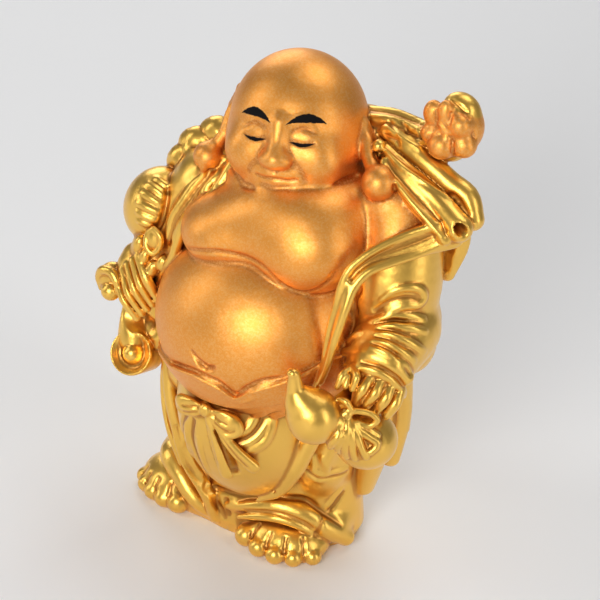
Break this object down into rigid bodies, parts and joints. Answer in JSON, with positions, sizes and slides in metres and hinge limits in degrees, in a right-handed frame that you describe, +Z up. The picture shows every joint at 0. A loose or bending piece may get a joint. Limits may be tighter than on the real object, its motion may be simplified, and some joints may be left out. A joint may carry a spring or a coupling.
{
  "type": "standing monk figurine",
  "caption": "Small cast ornament: a stout bald monk standing in an open robe, holding a bottle gourd and a round-ended sceptre, with a sack behind the shoulders.",
  "frame": {"origin": "centre of the bounding box, at the flat underside", "axes": "+Z up from the underside to the crown of the head, -Y the way the figure faces, +X to the figure's own left"},
  "size_m": [0.0576, 0.0408, 0.08],
  "materials": {
    "gold_finish": "metallic gold paint on cast resin: glossy on cloth, hands and feet, satin and more orange on the bare skin, with black painted brows and eyes"
  },
  "bodies": {
    "root": {"figure": "gold_finish"}
  },
  "joints": []
}
